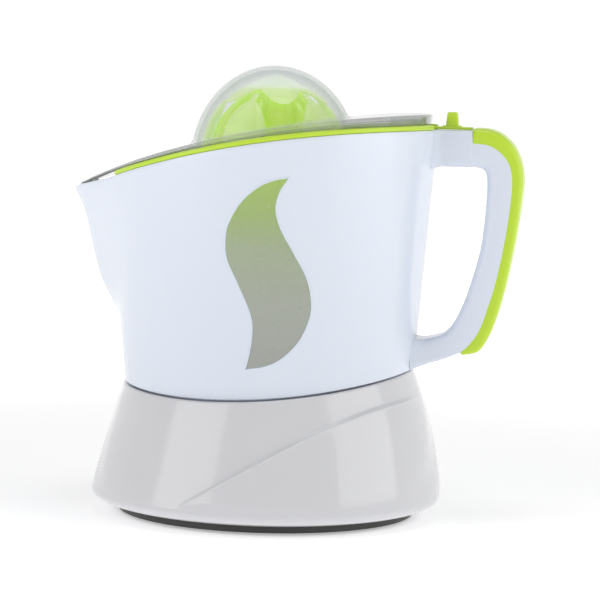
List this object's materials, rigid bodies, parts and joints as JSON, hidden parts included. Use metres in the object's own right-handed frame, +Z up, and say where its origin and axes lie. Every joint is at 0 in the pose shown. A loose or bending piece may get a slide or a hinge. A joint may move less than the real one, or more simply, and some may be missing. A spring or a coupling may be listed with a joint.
{
  "type": "electric citrus juicer",
  "caption": "Electric citrus juicer: round drive base, pouring jug with loop handle and level window, lime strainer and cones under a clear domed cover.",
  "frame": {"origin": "on the table, under the drive axis", "axes": "+Z up along the drive axis, +X towards the handle, -X towards the spout, -Y the side with the level window"},
  "size_m": [0.2321, 0.181, 0.2282],
  "materials": {
    "base_plastic": "gloss",
    "dark_plastic": "matte",
    "rubber": "matte",
    "steel": "brushed",
    "nylon": "matte",
    "bronze": "satin",
    "iron": "satin",
    "copper": "enamelled wire",
    "red_plastic": "matte",
    "white_plastic": "gloss",
    "window_plastic": "frosted",
    "lime_plastic": "gloss",
    "pale_plastic": "frosted",
    "clear_plastic": "clear"
  },
  "bodies": {
    "base": {"base_housing": "base_plastic", "base_plate": "dark_plastic", "rubber_feet": "rubber", "base_screws": "steel", "cord_grommet": "rubber", "terminal_block": "nylon", "gearbox_frame": "dark_plastic", "gearbox_cover": "dark_plastic", "gearbox_screws": "steel", "idler_pin": "steel", "lower_bush": "bronze", "upper_bush": "bronze", "shaft_seal": "rubber", "motor_stator": "iron", "motor_coils": "copper", "motor_bracket": "steel", "microswitch_body": "dark_plastic", "return_spring": "steel"},
    "rotor": {"motor_rotor": "iron", "motor_shaft": "steel", "motor_pinion": "nylon"},
    "idler": {"idler_gear": "nylon"},
    "plunger": {"spring_plunger": "nylon"},
    "spindle": {"drive_spindle": "steel", "output_gear": "nylon"},
    "button": {"switch_button": "red_plastic"},
    "jug": {"jug_body": "white_plastic", "level_window": "window_plastic", "handle_grip": "lime_plastic"},
    "strainer": {"strainer_basket": "lime_plastic"},
    "pulp_lever": {"pulp_selector": "lime_plastic"},
    "small_cone": {"small_cone": "lime_plastic"},
    "large_cone": {"large_cone": "pale_plastic"},
    "cover": {"dust_cover": "clear_plastic"}
  },
  "joints": [
    {"name": "start_press", "type": "slide", "parent": "base", "child": "plunger", "axis": [0, 0, 1], "range_m": [-0.0025, 0], "stiffness_N_per_m": 2500, "springref_m": 0.002, "deforming": ["return_spring"]},
    {"name": "spindle_spin", "type": "hinge", "parent": "plunger", "child": "spindle", "pos_m": [0, 0, 0.1], "axis": [0, 0, 1], "continuous": true},
    {"name": "rotor_spin", "type": "hinge", "parent": "base", "child": "rotor", "pos_m": [0.02584, 0.02785, 0.02], "axis": [0, 0, 1], "continuous": true},
    {"name": "idler_spin", "type": "hinge", "parent": "base", "child": "idler", "pos_m": [0.039, 0, 0.045], "axis": [0, 0, 1], "continuous": true},
    {"name": "button_press", "type": "slide", "parent": "base", "child": "button", "axis": [0, 0, 1], "range_m": [-0.001, 0]},
    {"name": "jug_lift", "type": "slide", "parent": "base", "child": "jug", "axis": [0, 0, 1], "range_m": [0, 0.13]},
    {"name": "strainer_lift", "type": "slide", "parent": "jug", "child": "strainer", "axis": [0, 0, 1], "range_m": [0, 0.07]},
    {"name": "pulp_setting", "type": "hinge", "parent": "strainer", "child": "pulp_lever", "pos_m": [0, 0, 0.146], "axis": [0, 0, 1], "range_deg": [-5, 5]},
    {"name": "cone_spin", "type": "hinge", "parent": "strainer", "child": "small_cone", "pos_m": [0, 0, 0.17], "axis": [0, 0, 1], "continuous": true},
    {"name": "large_cone_lift", "type": "slide", "parent": "small_cone", "child": "large_cone", "axis": [0, 0, 1], "range_m": [0, 0.03]},
    {"name": "cover_lift", "type": "slide", "parent": "strainer", "child": "cover", "axis": [0, 0, 1], "range_m": [0, 0.06]}
  ],
  "couplings": [
    {"joint": "rotor_spin", "follows": "spindle_spin", "ratio": 33},
    {"joint": "idler_spin", "follows": "spindle_spin", "ratio": -5.5},
    {"joint": "cone_spin", "follows": "spindle_spin", "ratio": 1},
    {"joint": "button_press", "follows": "start_press", "ratio": 0.4},
    {"joint": "large_cone_lift", "follows": "cover_lift", "ratio": 0.5}
  ]
}
